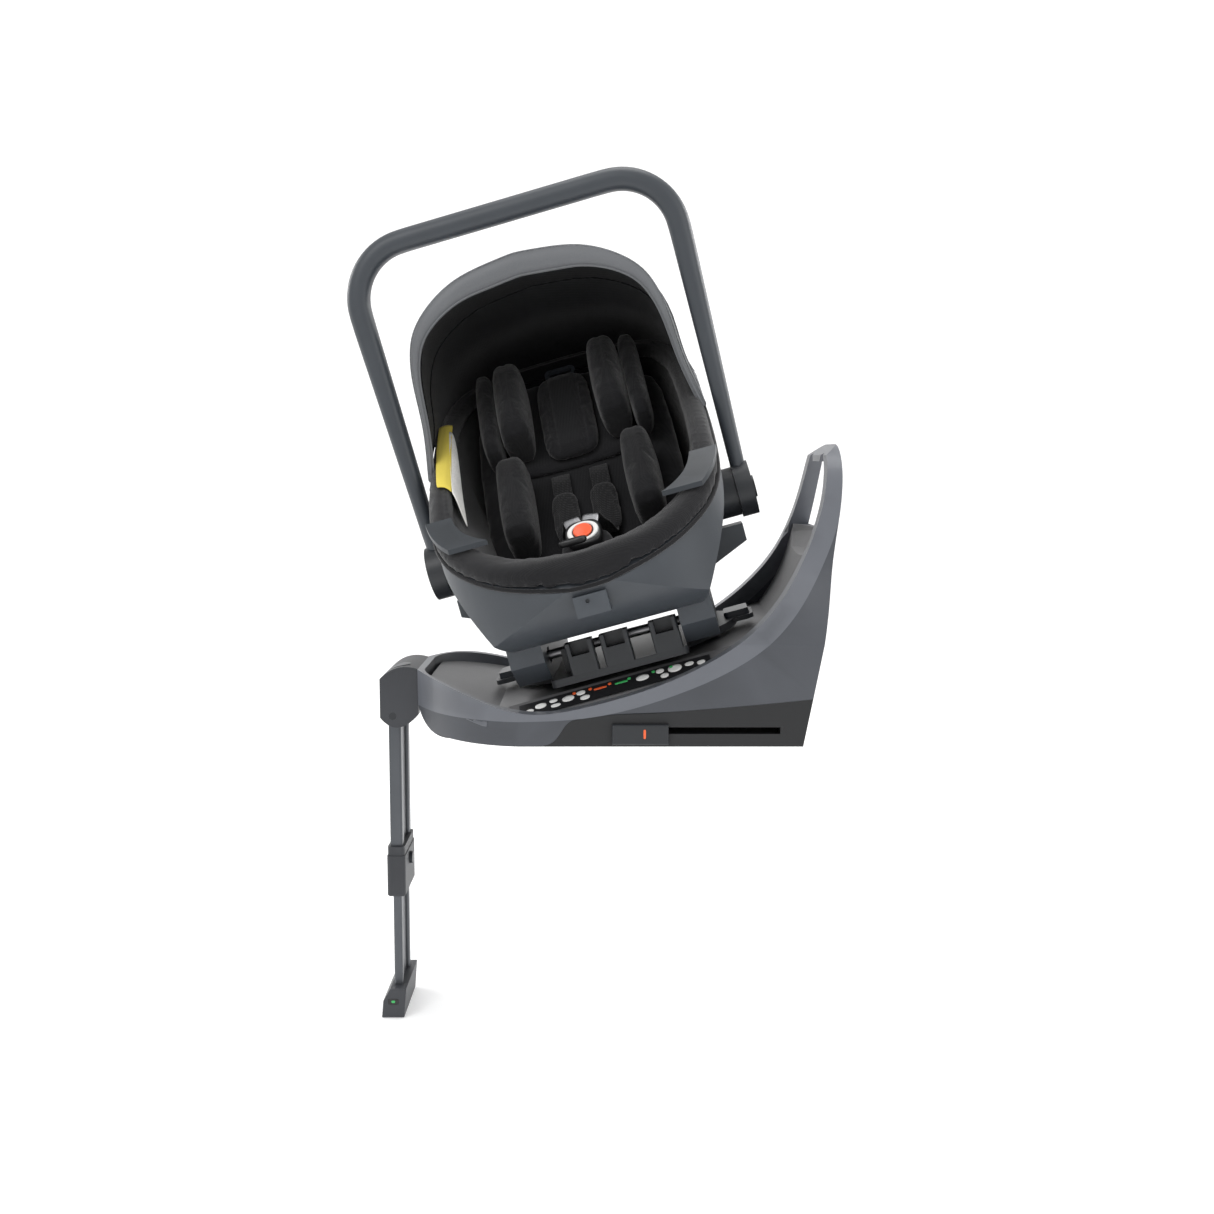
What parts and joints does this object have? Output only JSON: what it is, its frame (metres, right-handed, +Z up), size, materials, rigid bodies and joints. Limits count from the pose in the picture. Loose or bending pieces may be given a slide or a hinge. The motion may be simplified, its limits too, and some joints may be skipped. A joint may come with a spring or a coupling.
{
  "type": "infant car seat",
  "caption": "Rear-facing infant carrier with handle, canopy and harness, docked on a swivelling base with rebound frame, retractable anchors and a support leg.",
  "frame": {"origin": "in the plane of the base's underside, on its centre line, below the front edge of the platform's centre", "axes": "+Z up, +X from the support leg to the rebound frame, which lies against the vehicle seat's backrest; the carrier faces -Y, the door"},
  "size_m": [0.6187, 0.5695, 1.089],
  "materials": {
    "base_plastic": "moulded, fine grain",
    "band_plastic": "moulded satin",
    "deck_plastic": "moulded, fine grain",
    "strip": "printed film",
    "shell_plastic": "moulded, fine grain",
    "guide_plastic": "moulded satin",
    "leg_metal": "dark anodised",
    "steel": "dark zinc",
    "canopy_fabric": "woven",
    "buckle": "moulded",
    "buckle_red": "moulded",
    "webbing": "webbing",
    "cover_fabric": "knitted jersey"
  },
  "bodies": {
    "base": {"base_lower_housing": "base_plastic", "rebound_frame": "band_plastic", "base_deck": "deck_plastic", "instruction_strip": "strip", "leg_bracket": "base_plastic", "leg_pivot_pin": "steel", "turntable_bearing": "base_plastic"},
    "anchor_near": {"anchor_arm_near": "steel", "anchor_connector_near": "steel", "anchor_slider_near": "base_plastic"},
    "anchor_far": {"anchor_arm_far": "steel", "anchor_connector_far": "steel", "anchor_slider_far": "base_plastic"},
    "leg_upper": {"leg_upper_profile": "leg_metal", "leg_collar": "base_plastic"},
    "leg_button": {"leg_height_button": "guide_plastic"},
    "leg_lower": {"leg_lower_profile": "leg_metal", "leg_foot": "base_plastic"},
    "turntable": {"turntable_plate": "base_plastic", "dock_post_left": "base_plastic", "dock_post_centre": "base_plastic", "dock_post_right": "base_plastic"},
    "swivel_lever_left": {"swivel_lever_left": "guide_plastic"},
    "swivel_lever_right": {"swivel_lever_right": "guide_plastic"},
    "carrier": {"carrier_shell": "shell_plastic", "carrier_rail_left": "shell_plastic", "carrier_rail_right": "shell_plastic", "dock_cross_bar": "steel", "hub_left": "shell_plastic", "hub_right": "shell_plastic", "carrier_release_tab": "shell_plastic", "seat_liner": "cover_fabric", "seat_rim_pad_front": "cover_fabric", "seat_rim_pad_rear": "cover_fabric", "belt_guide_left": "guide_plastic", "belt_guide_right": "guide_plastic", "seat_cushion": "cover_fabric", "back_cushion": "cover_fabric", "body_bolster_left": "cover_fabric", "body_bolster_right": "cover_fabric", "harness_left": "webbing", "harness_right": "webbing", "buckle_body": "buckle", "canopy_middle": "canopy_fabric", "canopy_rear": "canopy_fabric"},
    "buckle_button": {"buckle_button": "buckle_red"},
    "harness_adjuster": {"harness_adjuster_button": "shell_plastic"},
    "headrest": {"headrest_plate": "shell_plastic", "headrest_pad": "cover_fabric", "headrest_wing_left": "cover_fabric", "headrest_wing_right": "cover_fabric", "headrest_grip": "shell_plastic"},
    "canopy": {"canopy_bow": "canopy_fabric", "canopy_front": "canopy_fabric"},
    "handle": {"handle_bar": "shell_plastic", "handle_hub_left": "shell_plastic", "handle_hub_right": "shell_plastic"},
    "handle_button_left": {"handle_button_left": "shell_plastic"},
    "handle_button_right": {"handle_button_right": "shell_plastic"}
  },
  "joints": [
    {"name": "anchor_near_slide", "type": "slide", "parent": "base", "child": "anchor_near", "axis": [1, 0, 0], "range_m": [0, 0.13]},
    {"name": "anchor_far_slide", "type": "slide", "parent": "base", "child": "anchor_far", "axis": [1, 0, 0], "range_m": [0, 0.13]},
    {"name": "leg_fold", "type": "hinge", "parent": "base", "child": "leg_upper", "pos_m": [-0.274, 0, 0.008], "axis": [0, -1, 0], "range_deg": [0, 90]},
    {"name": "leg_height", "type": "slide", "parent": "leg_upper", "child": "leg_lower", "axis": [0, 0, -1], "range_m": [-0.11, 0.045]},
    {"name": "leg_button_press", "type": "slide", "parent": "leg_upper", "child": "leg_button", "axis": [-1, 0, 0], "range_m": [0, 0.002], "stiffness_N_per_m": 400},
    {"name": "swivel", "type": "hinge", "parent": "base", "child": "turntable", "pos_m": [0.024, 0, 0.09], "axis": [-0.2672, 0, 0.9636], "range_deg": [0, 186]},
    {"name": "swivel_lever_left_press", "type": "slide", "parent": "turntable", "child": "swivel_lever_left", "axis": [0.2672, 0, -0.9636], "range_m": [0, 0.0025], "stiffness_N_per_m": 400},
    {"name": "swivel_lever_right_press", "type": "slide", "parent": "turntable", "child": "swivel_lever_right", "axis": [0.2672, 0, -0.9636], "range_m": [0, 0.0025], "stiffness_N_per_m": 400},
    {"name": "carrier_lift", "type": "slide", "parent": "turntable", "child": "carrier", "axis": [-0.2672, 0, 0.9636], "range_m": [0, 0.12]},
    {"name": "buckle_press", "type": "slide", "parent": "carrier", "child": "buckle_button", "axis": [0.2378, 0.6383, -0.7321], "range_m": [0, 0.0025], "stiffness_N_per_m": 400},
    {"name": "adjuster_press", "type": "slide", "parent": "carrier", "child": "harness_adjuster", "axis": [0.2672, 0, -0.9636], "range_m": [0, 0.0025], "stiffness_N_per_m": 400},
    {"name": "headrest_height", "type": "slide", "parent": "carrier", "child": "headrest", "axis": [-0.1454, 0.7304, 0.6674], "range_m": [0, 0.028]},
    {"name": "canopy_fold", "type": "hinge", "parent": "carrier", "child": "canopy", "pos_m": [-0.02027, -0.02996, 0.24376], "axis": [-0.9623, 0.0523, -0.2669], "range_deg": [0, 15]},
    {"name": "handle_swing", "type": "hinge", "parent": "carrier", "child": "handle", "pos_m": [-0.02027, -0.02996, 0.24376], "axis": [0.9623, -0.0523, 0.2669], "range_deg": [-100, 60]},
    {"name": "handle_button_left_press", "type": "slide", "parent": "handle", "child": "handle_button_left", "axis": [0.9623, -0.0523, 0.2669], "range_m": [0, 0.0025], "stiffness_N_per_m": 400},
    {"name": "handle_button_right_press", "type": "slide", "parent": "handle", "child": "handle_button_right", "axis": [-0.9623, 0.0523, -0.2669], "range_m": [0, 0.0025], "stiffness_N_per_m": 400}
  ]
}
